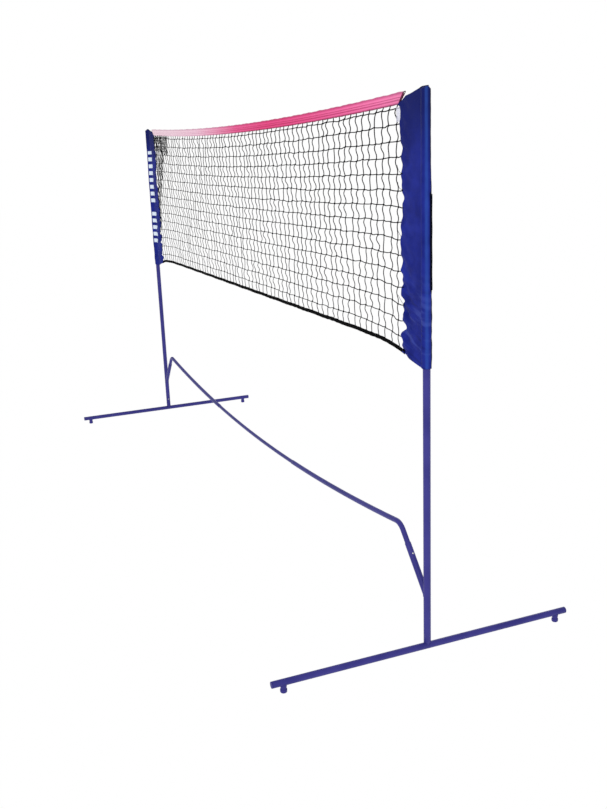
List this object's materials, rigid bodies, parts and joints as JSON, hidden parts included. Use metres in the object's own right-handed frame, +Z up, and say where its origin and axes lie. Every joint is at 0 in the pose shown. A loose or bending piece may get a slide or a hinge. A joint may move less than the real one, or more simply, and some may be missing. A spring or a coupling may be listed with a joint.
{
  "type": "portable badminton net",
  "caption": "Free-standing mini badminton net: a knotted net with a taped top edge between two pocket sleeves on tubular steel posts, with foot bars and a bowed crossbar.",
  "frame": {"origin": "on the floor, midway between the posts", "axes": "+X along the net from the left post to the right, +Y across the net, +Z up"},
  "size_m": [3.0282, 0.975, 1.582],
  "materials": {
    "frame_paint": "satin indigo powder coat on steel tube",
    "cap_plastic": "moulded indigo polypropylene with a fine texture",
    "zinc_steel": "zinc-plated inner tube",
    "fastener_steel": "bright nickel-plated steel",
    "spring_steel": "blued spring steel strip",
    "sleeve_fabric": "royal blue woven polyester with folds",
    "tape_fabric": "pink folded tape with rows of stitching",
    "net_twine": "black twisted twine, knotted in squares",
    "webbing": "black woven tape",
    "patch_fabric": "pale translucent reinforcement patch",
    "white_cord": "white braided cord"
  },
  "bodies": {
    "stand": {"foot_bar_left": "frame_paint", "bar_end_cap_left_front": "cap_plastic", "foot_left_front": "cap_plastic", "foot_screw_left_front": "fastener_steel", "bar_end_cap_left_rear": "cap_plastic", "foot_left_rear": "cap_plastic", "foot_screw_left_rear": "fastener_steel", "post_spigot_left": "frame_paint", "lower_post_left": "frame_paint", "post_ferrule_left": "zinc_steel", "upper_post_left": "frame_paint", "ferrule_rivet_left": "fastener_steel", "post_cap_left": "cap_plastic", "brace_stub_left": "frame_paint", "elbow_tube_left": "frame_paint", "base_button_spring_left": "spring_steel", "mid_button_spring_left": "spring_steel", "brace_button_spring_left": "spring_steel", "foot_bar_right": "frame_paint", "bar_end_cap_right_front": "cap_plastic", "foot_right_front": "cap_plastic", "foot_screw_right_front": "fastener_steel", "bar_end_cap_right_rear": "cap_plastic", "foot_right_rear": "cap_plastic", "foot_screw_right_rear": "fastener_steel", "post_spigot_right": "frame_paint", "lower_post_right": "frame_paint", "post_ferrule_right": "zinc_steel", "upper_post_right": "frame_paint", "ferrule_rivet_right": "fastener_steel", "post_cap_right": "cap_plastic", "brace_stub_right": "frame_paint", "elbow_tube_right": "frame_paint", "base_button_spring_right": "spring_steel", "mid_button_spring_right": "spring_steel", "brace_button_spring_right": "spring_steel", "crossbar_centre_tube": "frame_paint"},
    "net": {"sleeve_left": "sleeve_fabric", "closure_strip_left": "webbing", "corner_patch_left": "patch_fabric", "sleeve_right": "sleeve_fabric", "closure_strip_right": "webbing", "corner_patch_right": "patch_fabric", "top_tape": "tape_fabric", "headline_cord": "white_cord", "net_mesh": "net_twine", "bottom_band": "webbing"},
    "base_button_left": {"base_button_left": "fastener_steel"},
    "mid_button_left": {"mid_button_left": "fastener_steel"},
    "brace_button_left": {"brace_button_left": "fastener_steel"},
    "base_button_right": {"base_button_right": "fastener_steel"},
    "mid_button_right": {"mid_button_right": "fastener_steel"},
    "brace_button_right": {"brace_button_right": "fastener_steel"}
  },
  "joints": [
    {"name": "net_lift", "type": "slide", "parent": "stand", "child": "net", "axis": [0, 0, 1], "range_m": [0, 0.72]},
    {"name": "base_button_left_press", "type": "slide", "parent": "stand", "child": "base_button_left", "axis": [-1, 0, 0], "range_m": [0, 0.003], "stiffness_N_per_m": 1500, "springref_m": -0.002},
    {"name": "mid_button_left_press", "type": "slide", "parent": "stand", "child": "mid_button_left", "axis": [-1, 0, 0], "range_m": [0, 0.003], "stiffness_N_per_m": 1500, "springref_m": -0.002},
    {"name": "brace_button_left_press", "type": "slide", "parent": "stand", "child": "brace_button_left", "axis": [0.7349, 0, -0.6782], "range_m": [0, 0.003], "stiffness_N_per_m": 1500, "springref_m": -0.002},
    {"name": "base_button_right_press", "type": "slide", "parent": "stand", "child": "base_button_right", "axis": [1, 0, 0], "range_m": [0, 0.003], "stiffness_N_per_m": 1500, "springref_m": -0.002},
    {"name": "mid_button_right_press", "type": "slide", "parent": "stand", "child": "mid_button_right", "axis": [1, 0, 0], "range_m": [0, 0.003], "stiffness_N_per_m": 1500, "springref_m": -0.002},
    {"name": "brace_button_right_press", "type": "slide", "parent": "stand", "child": "brace_button_right", "axis": [-0.7349, 0, -0.6782], "range_m": [0, 0.003], "stiffness_N_per_m": 1500, "springref_m": -0.002}
  ]
}
